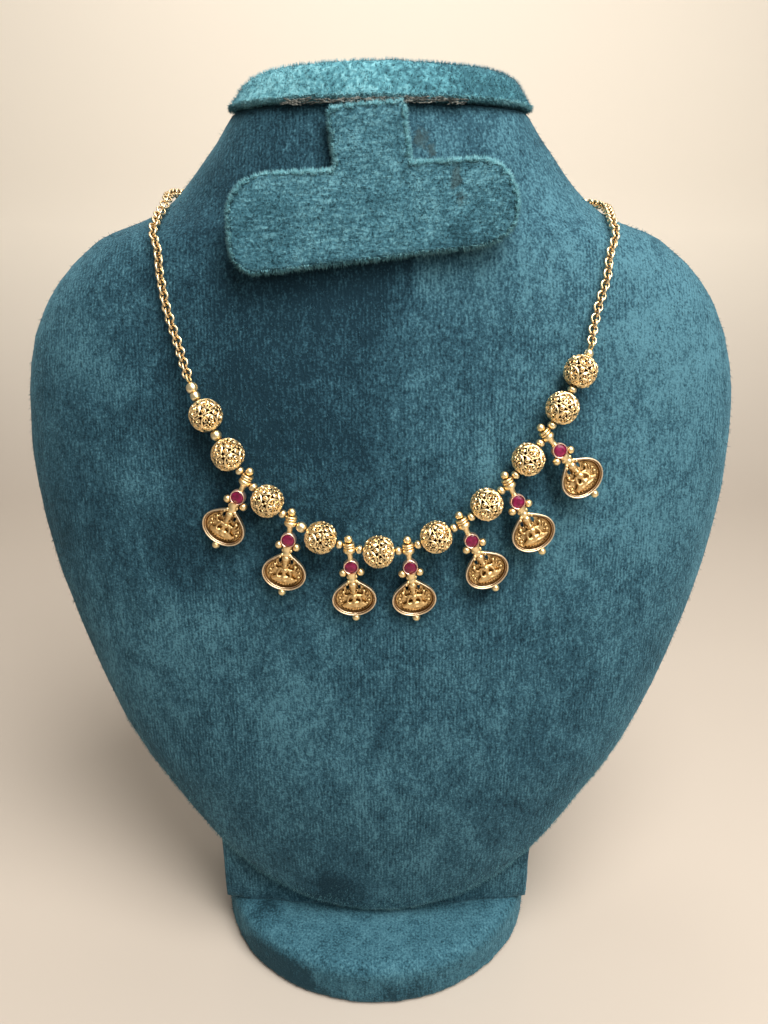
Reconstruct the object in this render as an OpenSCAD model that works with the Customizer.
/* [Bust] */
// Width across the shoulders
bust_w = 194; // [188:1:200]
// Height of the body from its lower tip to the seam under the cap
bust_h = 221; // [215:1:227]
// Depth of the body from the chest to the back of the neck
bust_d = 78; // [74:1:82]
// Gap between two covered pieces that rest on each other
cover_gap = 0.4; // [0.3:0.05:0.6]

/* [Neck cap] */
// Height of the cap on top of the neck
cap_h = 11; // [9:0.5:15]
// How far the cap stands out over the sides of the neck
cap_lip = 0.4; // [0.2:0.1:1.5]
// How far the cap is pushed forward over the strap of the earring bar
cap_forward = 1.3; // [0.8:0.1:2]

/* [Earring bar] */
// Length of the bar
bar_w = 67.5; // [56:0.5:74]
// Height of the bar at its left end
bar_h = 22.5; // [18:0.5:26]
// Height of the bar at its right end
bar_end_h = 20; // [18:0.5:26]
// Thickness of the covered board
bar_t = 2.4; // [1.6:0.1:3]
// Radius of the bar's corners
bar_corner = 9; // [5:0.5:9]
// Radius of its lower left corner
bar_low_corner = 5.5; // [4:0.5:9]
// How far the bar reaches out to the left beyond its strap's middle line
bar_side = 1.4; // [0:0.2:3]
// Width of the strap that the bar hangs from
strap_w = 18.5; // [12:0.5:24]
// Free length of the strap between the cap and the bar
strap_l = 14; // [9:0.5:17]
// How far the strap is fixed to the left of the neck's middle
strap_side = 2.7; // [0:0.1:4]
// How far bar and strap hang out of level, in degrees
bar_tilt = 5.5; // [0:0.5:6]
// Slope of the board against the upright, in degrees
bar_lean = 16.5; // [16:0.5:20]

/* [Stand] */
// Width of the foot
foot_w = 96; // [90:1:102]
// Thickness of the foot
foot_h = 13.5; // [10:0.5:17]
// Reach of the foot in front of the shoulders
foot_front = 57; // [53:1:66]
// Reach of the foot behind the shoulders
foot_back = 40; // [32:1:54]
// Radius of the foot's upper edge
foot_edge = 3.5; // [2:0.5:5]
// How far the stand lies to the left of the body's middle
stand_side = 1.4; // [0:0.2:3]
// How far the riser's sides stand in from the foot's
riser_inset = 1.75; // [1:0.25:5]
// Reach of the riser behind the shoulders
riser_back = 16; // [11:1:22]
// How far the riser's front is bowed
riser_bow = 3.2; // [2:0.2:8]
// Radius of the riser's rear corners
riser_corner = 3.5; // [1:0.5:7]

/* [Strung beads] */
// Diameter of a filigree ball
ball_d = 8; // [7.6:0.1:8.4]
// Wall of a filigree ball
ball_wall = 0.6; // [0.45:0.05:0.8]
// Diameter of a round gap in a filigree ball
ball_gap_d = 2.1; // [1.5:0.1:2.3]
// Gaps in each half of a filigree ball
ball_gaps = 5; // [4:1:5]
// How far the seam round a ball stands proud
ball_seam = 0.12; // [0.08:0.02:0.2]
// Width of that seam
seam_w = 0.4; // [0.3:0.05:0.6]
// Diameter of the hole through a ball
ball_bore = 1.7; // [1.6:0.05:2]
// Diameter of the small round beads beside a drop
bead_d = 1.9; // [1.6:0.05:2]
// Length of a small bead along the thread
bead_l = 1.45; // [1.25:0.05:1.55]
// Diameter of the two larger round beads, one at the left end and one beside a drop
spacer_d = 2.5; // [2:0.05:2.6]
// Diameter of the drum beads at the left end
drum_d = 2.35; // [1.8:0.05:2.6]
// Length of a drum bead
drum_l = 1.9; // [1.4:0.05:2.4]
// Radius of a drum bead's edges
drum_edge = 0.4; // [0.2:0.05:0.5]
// Extra room at a drum bead, because flat ends tilt against each other where the thread bends
drum_gap = 0.18; // [0.15:0.01:0.3]
// Diameter of the thread
thread_d = 0.45; // [0.35:0.05:0.55]
// Clearance all round between the thread and a short bead's hole
bore_gap = 0.14; // [0.1:0.01:0.2]
// Gap between two things on the thread
string_gap = 0.08; // [0.06:0.01:0.12]
// How far all that is strung has slipped to the left
string_slip = 0.35; // [0:0.05:1.5]
// Gap between the necklace and the covered body
rest_gap = 0.25; // [0.2:0.05:0.4]

/* [Drops] */
// Diameter of the fat disc of a bail
bail_d = 2.9; // [2.7:0.1:3.1]
// Thickness of the fat disc
bail_h = 1.45; // [1.2:0.05:1.7]
// Diameter of the two thin rings on it
ring_d = 2.65; // [2.3:0.05:2.8]
// Thickness of a thin ring
ring_h = 0.55; // [0.45:0.05:0.65]
// Room that a bail takes up on the thread
bail_room = 3.45; // [3.4:0.05:4]
// Diameter of a granule
granule_d = 1.85; // [1.6:0.05:2]
// Outer diameter of a bezel
bezel_d = 3.8; // [3.6:0.1:4.2]
// Depth of a bezel
bezel_h = 1.9; // [1.7:0.1:2.2]
// Distance from the thread down to a bezel's centre
bezel_drop = 5.15; // [4.9:0.05:5.5]
// Diameter of a ruby
ruby_d = 3; // [2.7:0.05:3.1]
// Height of a ruby from its culet to its table
ruby_h = 1.15; // [0.9:0.05:1.3]
// Gap round a ruby
ruby_gap = 0.06; // [0.05:0.01:0.1]
// Diameter of the column between bezel and medallion
column_d = 1.65; // [1.3:0.05:1.9]
// Width of a medallion
medal_w = 11; // [10.2:0.1:11.6]
// Height of a medallion without its peak
medal_h = 8.9; // [8.5:0.1:9.2]
// Height of the peak at the top of a medallion
medal_peak = 1; // [0.5:0.1:1.4]
// Depth of a medallion from its back to the top of its rim
medal_t = 1.9; // [1.7:0.1:2.2]
// Distance from the thread down to a medallion's centre
medal_drop = 14.1; // [13.7:0.1:14.6]

/* [Chain] */
// Outer diameter of a link
link_d = 2.65; // [2.55:0.05:2.9]
// Diameter of a link's wire
link_wire = 0.55; // [0.49:0.02:0.59]
// Least gap between two links
link_gap = 0.15; // [0.14:0.01:0.18]
// Diameter of the clasp's barrel
clasp_d = 3.1; // [2.7:0.1:3.5]
// Length of the clasp's barrel
clasp_l = 8; // [6:0.5:11]

/* [Hidden] */

// The body's level sections, from its lower tip to the seam under the cap.
// Columns: height as a share of bust_h, half width as a share of bust_w / 2, then as shares of bust_d
// the places of the side edges, the front and the back, then how square the front and the back are.
SECTIONS = [
    [0.0000, 0.000, -0.470, -0.470, -0.470, 2.2, 2.2],
    [0.0230, 0.250, -0.440, -0.505, -0.455, 2.2, 2.2],
    [0.0840, 0.452, -0.390, -0.540, -0.455, 2.2, 2.2],
    [0.1800, 0.648, -0.280, -0.560, -0.455, 2.2, 2.2],
    [0.2400, 0.748, -0.230, -0.560, -0.285, 2.2, 2.6],
    [0.3570, 0.870, -0.160, -0.530, 0.170, 2.2, 3.5],
    [0.5280, 0.983, -0.070, -0.470, 0.270, 2.2, 3.5],
    [0.6850, 1.000, 0.000, -0.400, 0.310, 2.2, 3.0],
    [0.7900, 0.930, 0.040, -0.340, 0.360, 2.2, 2.6],
    [0.8620, 0.775, 0.070, -0.300, 0.410, 2.1, 2.3],
    [0.8920, 0.606, 0.085, -0.285, 0.430, 2.0, 2.1],
    [0.9525, 0.463, 0.070, -0.245, 0.430, 2.0, 2.0],
    [1.0000, 0.384, 0.070, -0.205, 0.415, 2.0, 2.0]];
HALF_WIDTH = 1;
SIDE_Y = 2;
FRONT_Y = 3;
BACK_Y = 4;
FRONT_SQUARE = 5;
BACK_SQUARE = 6;

// The cap's rings. Columns: height as a share of cap_h, size as a share of the ring at the seam.
CAP_RINGS = [[0, 1], [0.1, 1.02], [0.45, 0.94], [0.7, 0.87], [0.86, 0.77], [0.96, 0.6], [1, 0.36]];

// A medallion's rings from its back, over the rim and into the dish.
// Columns: size as a share of the outline, height as a share of medal_t.
MEDAL_RINGS = [[0.8, 0], [0.97, 0.1], [1, 0.35], [1, 0.85], [0.965, 1], [0.925, 0.92],
    [0.72, 0.42], [0.68, 0.52], [0.64, 0.42]];

// The route of the thread and the chains on the body, a closed loop that starts at the middle drop.
// Columns: height as a share of bust_h, direction round the body in degrees where 270 is the
// middle of the chest and 360 the right side edge, and whether the chain lies there (1) or the balls (0).
ROUTE = [
    [0.541, 273.3, 0], [0.559, 278.3, 0], [0.587, 283.3, 0], [0.635, 289.1, 0], [0.690, 294.3, 0],
    [0.727, 297.4, 0], [0.748, 299.6, 0.35], [0.772, 301.4, 0.9], [0.797, 303.9, 1], [0.821, 307.7, 1],
    [0.848, 313.1, 1], [0.871, 323.0, 1], [0.885, 338.0, 1], [0.895, 358.0, 1], [0.902, 388.0, 1],
    [0.905, 420.0, 1], [0.906, 450.0, 1], [0.907, 480.0, 1], [0.909, 512.0, 1], [0.909, 540.0, 1],
    [0.903, 556.0, 1], [0.886, 568.0, 1], [0.873, 579.0, 1], [0.853, 588.0, 1], [0.820, 594.2, 1],
    [0.790, 597.9, 1], [0.758, 601.0, 1], [0.728, 603.4, 0.5], [0.703, 605.3, 0.02], [0.683, 607.0, 0],
    [0.641, 610.3, 0], [0.591, 615.8, 0], [0.552, 622.8, 0], [0.536, 629.8, 0]];

// How far each drop hangs out of plumb, in degrees, positive with its lower end to the left
DROP_LEAN = [27, 9, -4.5, -7, -27, -27, -40];

// How far each drop's lower end stands away from where it would touch the body, in degrees
DROP_LIFT = [2, 2, 0, 0, 4, 9, 10];

// What is strung, from the left end to the right end, with a larger bead on the right of one drop
LARGE_BEAD_DROP = 2;
STRUNG = concat(["drum", "drum", "ball", "spacer", "ball"],
    [for (i = [1:len(DROP_LEAN)]) each ["bead", "drop", i == LARGE_BEAD_DROP ? "spacer" : "bead", "ball"]],
    ["bead", "ball", "bead"]);
MIDDLE_DROP = 4;

// The body's mesh: rings to each row of its table, sides to a ring, and the share where its tip is cut
body_steps = 3;
body_sides = 44;
tip_share = 0.0009;
body_z = foot_h + cover_gap;
riser_w = foot_w - 2 * riser_inset;
seam_z = body_z + bust_h;
route_steps = 8;
thread_step = 2;
link_r = (link_d - link_wire) / 2;
link_pitch_most = 2 * link_r - link_wire - link_gap;
chain_rest = max(link_d, clasp_d) / 2 + rest_gap;
ball_rest = ball_d / 2 + ball_seam + rest_gap;
bore_d = thread_d + 2 * bore_gap;

// Geometry helpers
function unit(v) = v / norm(v);
function signed_power(v, e) = sign(v) * pow(abs(v), e);
function mix(a, b, t) = a + (b - a) * t;

// A smooth value between the rows of a table whose first column is a share, eased so that
// a tip opens like an arc
function row_place(rows, i) = sqrt(rows[i][0]);
function row_slope(rows, i, col) =
    let (lo = max(i - 1, 0), hi = min(i + 1, len(rows) - 1))
    (rows[hi][col] - rows[lo][col]) / (row_place(rows, hi) - row_place(rows, lo));
function row_before(rows, q, i = 0) =
    i >= len(rows) - 2 || q < row_place(rows, i + 1) ? i : row_before(rows, q, i + 1);
function smooth_at(rows, share, col) =
    let (q = sqrt(share), i = row_before(rows, q), start = row_place(rows, i),
        span = row_place(rows, i + 1) - start, t = (q - start) / span)
    rows[i][col] * (2 * t ^ 3 - 3 * t ^ 2 + 1) + rows[i + 1][col] * (3 * t ^ 2 - 2 * t ^ 3)
    + span * row_slope(rows, i, col) * (t ^ 3 - 2 * t ^ 2 + t)
    + span * row_slope(rows, i + 1, col) * (t ^ 3 - t ^ 2);

// A point on the covered body at a share of its height, and the direction out of its surface
function body_point(share, angle) =
    let (behind = sin(angle) > 0, side_y = smooth_at(SECTIONS, share, SIDE_Y),
        reach = smooth_at(SECTIONS, share, behind ? BACK_Y : FRONT_Y) - side_y,
        e = 2 / smooth_at(SECTIONS, share, behind ? BACK_SQUARE : FRONT_SQUARE))
    [bust_w / 2 * smooth_at(SECTIONS, share, HALF_WIDTH) * signed_power(cos(angle), e),
        bust_d * (side_y + reach * pow(abs(sin(angle)), e)), body_z + bust_h * share];
function body_normal(share, angle) =
    let (up = body_point(share + 0.001, angle) - body_point(share - 0.001, angle),
        round = body_point(share, angle + 0.3) - body_point(share, angle - 0.3))
    unit(cross(round, up));

// The route as points and outward directions at even steps between its rows, with the length to each
function route_row(i) =
    let (turns = floor(i / len(ROUTE)), row = ROUTE[i - turns * len(ROUTE)]) row + [0, 360 * turns, 0];
function route_value(i, t) =
    let (a = route_row(i - 1), b = route_row(i), c = route_row(i + 1), d = route_row(i + 2))
    b + t / 2 * ((c - a) + t * ((2 * a - 5 * b + 4 * c - d) + t * (3 * b - a - 3 * c + d)));
ROUTE_VALUES = [for (i = [0:len(ROUTE)], j = [0:route_steps - 1])
    if (i < len(ROUTE) || j == 0) route_value(i, j / route_steps)];
ROUTE_OUT = [for (v = ROUTE_VALUES) body_normal(v[0], v[1])];
ROUTE_POINTS = [for (i = [0:len(ROUTE_VALUES) - 1])
    let (v = ROUTE_VALUES[i])
    body_point(v[0], v[1]) + mix(ball_rest, chain_rest, min(max(v[2], 0), 1)) * ROUTE_OUT[i]];
ROUTE_LENGTHS = [for (i = 0, l = 0; i < len(ROUTE_POINTS);
    l = l + (i + 1 < len(ROUTE_POINTS) ? norm(ROUTE_POINTS[i + 1] - ROUTE_POINTS[i]) : 0), i = i + 1) l];
loop_l = ROUTE_LENGTHS[len(ROUTE_LENGTHS) - 1];
function route_lookup(values, l) =
    let (on_loop = l - floor(l / loop_l) * loop_l)
    [for (k = [0:2]) lookup(on_loop, [for (i = [0:len(values) - 1]) [ROUTE_LENGTHS[i], values[i][k]]])];
function route_point(l) = route_lookup(ROUTE_POINTS, l);
function route_along(l) = unit(route_point(l + 0.7) - route_point(l - 0.7));
function route_out(l) =
    let (out = route_lookup(ROUTE_OUT, l), along = route_along(l)) unit(out - (out * along) * along);

// Places of what is strung, as lengths along the route from the middle drop
function strung_l(kind) =
    kind == "ball" ? ball_d : kind == "drop" ? bail_room : kind == "drum" ? drum_l + drum_gap
    : kind == "spacer" ? spacer_d : bead_l;
STRUNG_ENDS = [for (i = 0, l = 0; i < len(STRUNG);
    l = l + strung_l(STRUNG[i]) + string_gap, i = i + 1) l + strung_l(STRUNG[i]) + string_gap];
function strung_of(kind) = [for (i = [0:len(STRUNG) - 1]) if (STRUNG[i] == kind) i];
function strung_middle(i) = STRUNG_ENDS[i] - string_gap - strung_l(STRUNG[i]) / 2;
string_start = -string_slip - strung_middle(strung_of("drop")[MIDDLE_DROP - 1]);
string_end = string_start + STRUNG_ENDS[len(STRUNG) - 1];
function strung_at(i) = string_start + strung_middle(i);
BALLS = strung_of("ball");
DROPS = strung_of("drop");

// The chains run from the thread's end rings to the clasp's rings at the back of the neck
ring_right = string_end + link_d / 2;
ring_left = string_start - string_gap - link_d / 2 + loop_l;
clasp_at = (ring_right + ring_left) / 2;
clasp_reach = clasp_l / 2 + link_r;
chain_l = clasp_at - clasp_reach - ring_right;
chain_links = ceil(chain_l / link_pitch_most) - 1;
link_pitch = chain_l / (chain_links + 1);
// A chain turns slowly about its own line on the way up
chain_turn = 60;
function link_turn(k) = 90 * (k % 2) + chain_turn * k / chain_links;

// A closed surface through rings with equally many points
module loft(rings) {
    n = len(rings[0]);
    last = len(rings) - 1;
    sides = [for (i = [0:last - 1], j = [0:n - 1])
        let (a = i * n + j, b = i * n + (j + 1) % n) each [[a, a + n, b], [b, a + n, b + n]]];
    ends = [[for (j = [0:n - 1]) j], [for (j = [0:n - 1]) last * n + n - 1 - j]];
    polyhedron([for (ring = rings) each ring], concat(sides, ends));
}

// Draws its children with their origin at a point, their Z along one direction and their X near another
module at_frame(origin, z, x) {
    y = unit(cross(z, x));
    x_true = cross(y, z);
    multmatrix([[x_true[0], y[0], z[0], origin[0]], [x_true[1], y[1], z[1], origin[1]],
        [x_true[2], y[2], z[2], origin[2]]]) children();
}

module on_route(l) at_frame(route_point(l), route_along(l), route_out(l)) children();

// A rod between two points, with a ball a little thicker than the rod at each end
module rod(a, b, r) {
    v = b - a;
    translate(a) rotate([0, acos(v[2] / norm(v)), atan2(v[1], v[0])]) cylinder(h = norm(v), r = r);
    translate(a) sphere(1.1 * r);
    translate(b) sphere(1.15 * r);
}

// A wire ring that lies in the XY plane
module wire_ring(r, wire) {
    rotate_extrude() translate([r, 0]) circle(d = wire);
}

// A disc with a rounded rim, centred on its axis
module round_disc(d, h) {
    rotate_extrude() {
        translate([0, -h / 2]) square([d / 2 - h / 2, h]);
        intersection() {
            translate([d / 2 - h / 2, 0]) circle(d = h);
            translate([0, -h / 2]) square([d, h]);
        }
    }
}

// The foot's outline is half an ellipse in front and nearly square behind
foot_middle = 0.24 * foot_front;
foot_square = 5;
function foot_point(angle, inset) =
    let (front = sin(angle) < 0, e = front ? 1 : 2 / foot_square,
        reach = front ? foot_front - foot_middle : foot_back + foot_middle)
    [(foot_w / 2 - inset) * signed_power(cos(angle), e),
        (reach - inset) * signed_power(sin(angle), e) - foot_middle];
module foot() {
    foot_sides = 48;
    steps = 4;
    levels = concat([[1, 0], [0, 1]],
        [for (i = [0:steps]) let (a = 90 * i / steps)
            [foot_edge * (1 - cos(a)), foot_h - foot_edge * (1 - sin(a))]]);
    color("#2b6475") translate([-stand_side, 0, 0]) loft([for (level = levels) [for (j = [0:foot_sides - 1])
        concat(foot_point(360 * j / foot_sides, level[0]), level[1])]]);
}

// The riser's top slopes along the body's underside, clear of where that bulges between two heights
riser_front_y = bust_d * SECTIONS[1][BACK_Y] + 2 * cover_gap;
riser_low = body_point(0.205, 90);
riser_high = body_point(0.35, 90);
riser_slope = atan2(riser_high[2] - riser_low[2], riser_high[1] - riser_low[1]);
riser_out = [0, sin(riser_slope), -cos(riser_slope)];
riser_bulge = max([for (share = [0.18:0.01:0.4], angle = [40:5:140])
    let (p = body_point(share, angle)) if (p[1] > riser_front_y) (p - riser_low) * riser_out]);
module riser() {
    bow_r = (riser_w ^ 2 / 4 + riser_bow ^ 2) / 2 / riser_bow;
    depth = riser_back - riser_front_y;
    color("#1f4a5a") translate([-stand_side, 0, 0]) difference() {
        translate([0, 0, foot_h + cover_gap / 2]) linear_extrude(riser_high[2] - foot_h) intersection() {
            translate([0, riser_front_y + bow_r]) circle(bow_r);
            translate([-riser_w / 2, riser_front_y]) {
                square([riser_w, depth - riser_corner]);
                translate([riser_corner, 0]) square([riser_w - 2 * riser_corner, depth]);
                for (x = [riser_corner, riser_w - riser_corner])
                    translate([x, depth - riser_corner]) circle(riser_corner);
            }
        }
        translate(riser_low + (riser_bulge + cover_gap) * riser_out) rotate([riser_slope, 0, 0])
            translate([-foot_w, -foot_w, 0]) cube([2 * foot_w, 3 * foot_w, bust_h]);
    }
}

// The covered body
module bust_body() {
    last = body_steps * (len(SECTIONS) - 1);
    shares = [for (i = [0:last]) let (row = min(floor(i / body_steps), len(SECTIONS) - 2))
        mix(row_place(SECTIONS, row), row_place(SECTIONS, row + 1), i / body_steps - row) ^ 2];
    color("#2a5f70") loft([for (share = shares)
        [for (j = [0:body_sides - 1]) body_point(max(share, tip_share), 360 * j / body_sides)]]);
}

module neck_cap() {
    middle = [0, (body_point(1, 270)[1] + body_point(1, 90)[1]) / 2, 0];
    half_w = body_point(1, 0)[0];
    color("#3f8795") translate([0, -cap_forward, seam_z + cover_gap / 2]) loft([for (row = CAP_RINGS)
        [for (j = [0:body_sides - 1])
            let (p = body_point(1, 360 * j / body_sides) - middle)
            middle + row[1] * (1 + cap_lip / half_w) * [p[0], p[1], 0] + [0, 0, cap_h * row[0]]]]);
}

module earring_bar() {
    top = body_point(1, 270) - [strap_side, cover_gap, 0];
    bar_middle = strap_l + bar_h / 2;
    strap_top = bar_t * tan(bar_lean) + strap_w / 2 * sin(bar_tilt);
    color("#35707f") translate(top) rotate([90 - bar_lean, 0, 0]) rotate(bar_tilt) linear_extrude(bar_t) {
        translate([-bar_side, -bar_middle]) hull() for (x = [-1, 1], y = [-1, 1]) {
            r = x + y < 0 ? bar_low_corner : bar_corner;
            h = x < 0 ? bar_h : bar_end_h;
            translate([x * (bar_w / 2 - r), y * (h / 2 - r)]) circle(r, $fn = 32);
        }
        translate([-strap_w / 2, -bar_middle]) square([strap_w, bar_middle - strap_top]);
    }
}

// A hollow ball, pierced in both halves, with the seam of its halves round its middle
module filigree_bead(n) {
    gap_latitude = 38;
    color("#d9a441") on_route(strung_at(BALLS[n - 1])) difference() {
        union() {
            sphere(d = ball_d);
            cylinder(h = seam_w, d = ball_d + 2 * ball_seam, center = true);
        }
        sphere(d = ball_d - 2 * ball_wall);
        cylinder(h = 2 * ball_d, d = ball_bore, center = true);
        for (half = [-1, 1], k = [0:ball_gaps - 1])
            rotate(360 * (k + half / 4) / ball_gaps) rotate([0, 90 + half * gap_latitude, 0])
                translate([0, 0, ball_d / 2 - 2 * ball_wall]) cylinder(h = 3 * ball_wall, d = ball_gap_d);
    }
}

// A bead turned round its hole: a short drum with rounded edges, or a ball
module drilled_drum() {
    wall = (drum_d - bore_d) / 2;
    rotate_extrude() translate([bore_d / 2, 0]) {
        translate([0, -drum_l / 2]) square([wall - drum_edge, drum_l]);
        translate([0, drum_edge - drum_l / 2]) square([wall, drum_l - 2 * drum_edge]);
        for (side = [-1, 1]) translate([wall - drum_edge, side * (drum_l / 2 - drum_edge)]) circle(drum_edge);
    }
}

module drilled_ball(d, l) {
    rotate_extrude() intersection() {
        translate([(d - l) / 2, 0]) circle(d = l);
        translate([bore_d / 2, -l / 2]) square([d, l]);
    }
}

module spacer_beads() {
    color("#e0b455") for (i = [0:len(STRUNG) - 1]) {
        kind = STRUNG[i];
        if (kind == "drum") on_route(strung_at(i)) drilled_drum();
        if (kind == "spacer") on_route(strung_at(i)) drilled_ball(spacer_d, spacer_d);
        if (kind == "bead") on_route(strung_at(i)) drilled_ball(bead_d, bead_l);
    }
}

module thread() {
    sides = 8;
    start = ring_left - loop_l + link_r;
    length = ring_right - link_r - start;
    count = ceil(length / thread_step);
    color("#b98a35") {
        loft([for (i = [0:count])
            let (l = start + length * i / count, out = route_out(l), side = cross(route_along(l), out))
            [for (j = [0:sides - 1])
                route_point(l) + thread_d / 2 * (cos(360 * j / sides) * out + sin(360 * j / sides) * side)]]);
        for (l = [ring_left, ring_right])
            on_route(l) rotate([90, 0, link_turn(0)]) wire_ring(link_r, link_wire);
    }
}

// Places in a drop, measured from the thread, and how far soldered pieces run into each other
solder = 0.1;
ring_low = 0.15 * bail_h;
ring_high = ring_low + ring_h + solder / 2;
bail_y = ring_low - (ring_h + bail_h) / 2 + solder / 2;
column_top = -bezel_drop - 0.42 * bezel_d;
medal_back = -0.42 * medal_t;
bottom_y = -medal_drop - (medal_h + granule_d) / 2 + 1.5 * solder;
bottom_z = granule_d / 8;
// A drop slopes towards the body until the granule at its lower end nearly touches it
drop_tilt = asin((ball_rest - rest_gap + bottom_z - granule_d / 2) / -bottom_y);

// A drop in its own frame: the thread passes through the origin, Y is up and Z is away from the body
module drop_frame(n) {
    l = strung_at(DROPS[n - 1]);
    out = route_out(l);
    plumb = unit([0, 0, -1] + out[2] * out);
    left = cross(plumb, out);
    down = cos(DROP_LEAN[n - 1]) * plumb + sin(DROP_LEAN[n - 1]) * left;
    tilt = drop_tilt - DROP_LIFT[n - 1];
    facing = cos(tilt) * out + sin(tilt) * down;
    at_frame(route_point(l), facing, cross(facing, down)) children();
}

// The turned stack that the thread passes through: a granule, two rings, a fat disc and a neck
module bail() {
    core_d = 0.7 * ring_d;
    neck_d = 0.45 * bail_d;
    translate([0, ring_high + (ring_h + granule_d) / 2 - solder, 0]) sphere(d = granule_d);
    for (y = [ring_high, ring_low]) translate([0, y, 0]) rotate([90, 0, 0]) round_disc(ring_d, ring_h);
    translate([0, bail_y, 0]) rotate([90, 0, 0]) {
        round_disc(bail_d, bail_h);
        translate([0, 0, bail_y - ring_high]) cylinder(h = ring_high - bail_y, d = core_d);
        cylinder(h = bezel_drop + bail_y - bezel_d / 4, d = neck_d);
    }
}

module bezel() {
    granule_reach = (bezel_d + granule_d) / 2 - solder;
    granule_angle = 42;
    translate([0, -bezel_drop, -bezel_h / 2]) cylinder(h = bezel_h, d = bezel_d);
    for (side = [-1, 1])
        translate([side * granule_reach * cos(granule_angle),
            -bezel_drop - granule_reach * sin(granule_angle), 0]) sphere(d = granule_d);
}

module medallion() {
    sides = 32;
    peak_power = 10;
    gap_x = 0.17 * medal_w;
    gap_y = 0.3 * medal_h;
    gap_d = 0.12 * medal_h;
    function outline(angle) = [medal_w / 2 * cos(angle),
        medal_h / 2 * sin(angle) + medal_peak * pow(max(0, sin(angle)), peak_power)];
    difference() {
        loft([for (row = MEDAL_RINGS) [for (j = [0:sides - 1])
            concat(row[0] * outline(360 * j / sides), medal_t * row[1])]]);
        for (x = [-gap_x, gap_x]) translate([x, gap_y, -medal_t]) cylinder(h = 3 * medal_t, d = gap_d);
    }
}

// The limbs of the seated figure on its right side, mirrored on its left.
// Columns: start point, end point and radius, all as shares of medal_h.
LIMBS = [
    [[0.26, -0.13, 0.04], [0.02, -0.20, 0.05], 0.055],
    [[0.11, 0.10, 0.06], [0.20, -0.03, 0.06], 0.040],
    [[0.22, 0.00, 0.07], [0.27, 0.12, 0.05], 0.035]];

// The seated figure in relief on the dish's floor: a row of seat granules, limbs, trunk and head
module figure() {
    seat = [0.105, 0.014, -0.3, 0.06];
    trunk = [-0.17, 0.03, 0.31, 0.1, 0.12];
    head = [0.21, 0.1, 0.085];
    scale(medal_h) {
        for (k = [-2:2]) translate([seat[0] * k, seat[1] * k ^ 2 + seat[2], 0]) sphere(seat[3]);
        for (side = [-1, 1], limb = LIMBS)
            rod([side * limb[0][0], limb[0][1], limb[0][2]], [side * limb[1][0], limb[1][1], limb[1][2]], limb[2]);
        translate([0, trunk[0], trunk[1]]) rotate([-90, 0, 0]) cylinder(h = trunk[2], r1 = trunk[3], r2 = trunk[4]);
        translate([0, head[0], head[1]]) sphere(head[2]);
    }
}

module drop(n) {
    column_l = medal_drop + column_top - 0.3 * medal_h;
    color("#d9a441") difference() {
        drop_frame(n) difference() {
            union() {
                bail();
                bezel();
                translate([0, column_top, column_d / 4]) rotate([90, 0, 0]) cylinder(h = column_l, d = column_d);
                translate([0, -medal_drop, medal_back]) {
                    medallion();
                    translate([0, 0, medal_t * MEDAL_RINGS[len(MEDAL_RINGS) - 1][1]]) figure();
                }
                translate([0, bottom_y, bottom_z]) sphere(d = granule_d);
            }
            translate([0, -bezel_drop, bezel_h / 2 - ruby_h - ruby_gap])
                cylinder(h = bezel_h, d = ruby_d + 2 * ruby_gap);
        }
        on_route(strung_at(DROPS[n - 1])) cylinder(h = bail_room, d = bore_d, center = true);
    }
}

// A round stone with a table, a crown and a pavilion of ten facets each
module ruby(n) {
    sides = 10;
    girdle = 0.1 * ruby_h;
    crown = 0.3 * ruby_h;
    levels = [[0.12, 0], [1, ruby_h - crown - girdle], [1, ruby_h - crown], [0.6, ruby_h]];
    color("#b3123f") drop_frame(n) translate([0, -bezel_drop, bezel_h / 2 - ruby_h])
        loft([for (level = levels) [for (j = [0:sides - 1])
            concat(ruby_d / 2 * level[0] * [cos(360 * j / sides), sin(360 * j / sides)], level[1])]]);
}

module chain(start, step) {
    color("#e3bb63") for (k = [1:chain_links])
        on_route(start + step * k * link_pitch) rotate([90, 0, link_turn(k)]) wire_ring(link_r, link_wire);
}

module clasp() {
    end_l = 0.3 * clasp_d;
    color("#e3bb63") {
        on_route(clasp_at) {
            cylinder(h = clasp_l - 2 * end_l, d = clasp_d, center = true);
            for (side = [-1, 1]) translate([0, 0, side * (clasp_l / 2 - end_l)]) sphere(d = 0.85 * clasp_d);
        }
        for (side = [-1, 1])
            on_route(clasp_at + side * clasp_reach) rotate([90, 0, link_turn(chain_links + 1)])
                wire_ring(link_r, link_wire);
    }
}

foot();
riser();
bust_body();
neck_cap();
earring_bar();
for (n = [1:len(BALLS)]) filigree_bead(n);
for (n = [1:len(DROPS)]) drop(n);
for (n = [1:len(DROPS)]) ruby(n);
spacer_beads();
thread();
chain(ring_left, -1);  // chain_left
chain(ring_right, 1);  // chain_right
clasp();
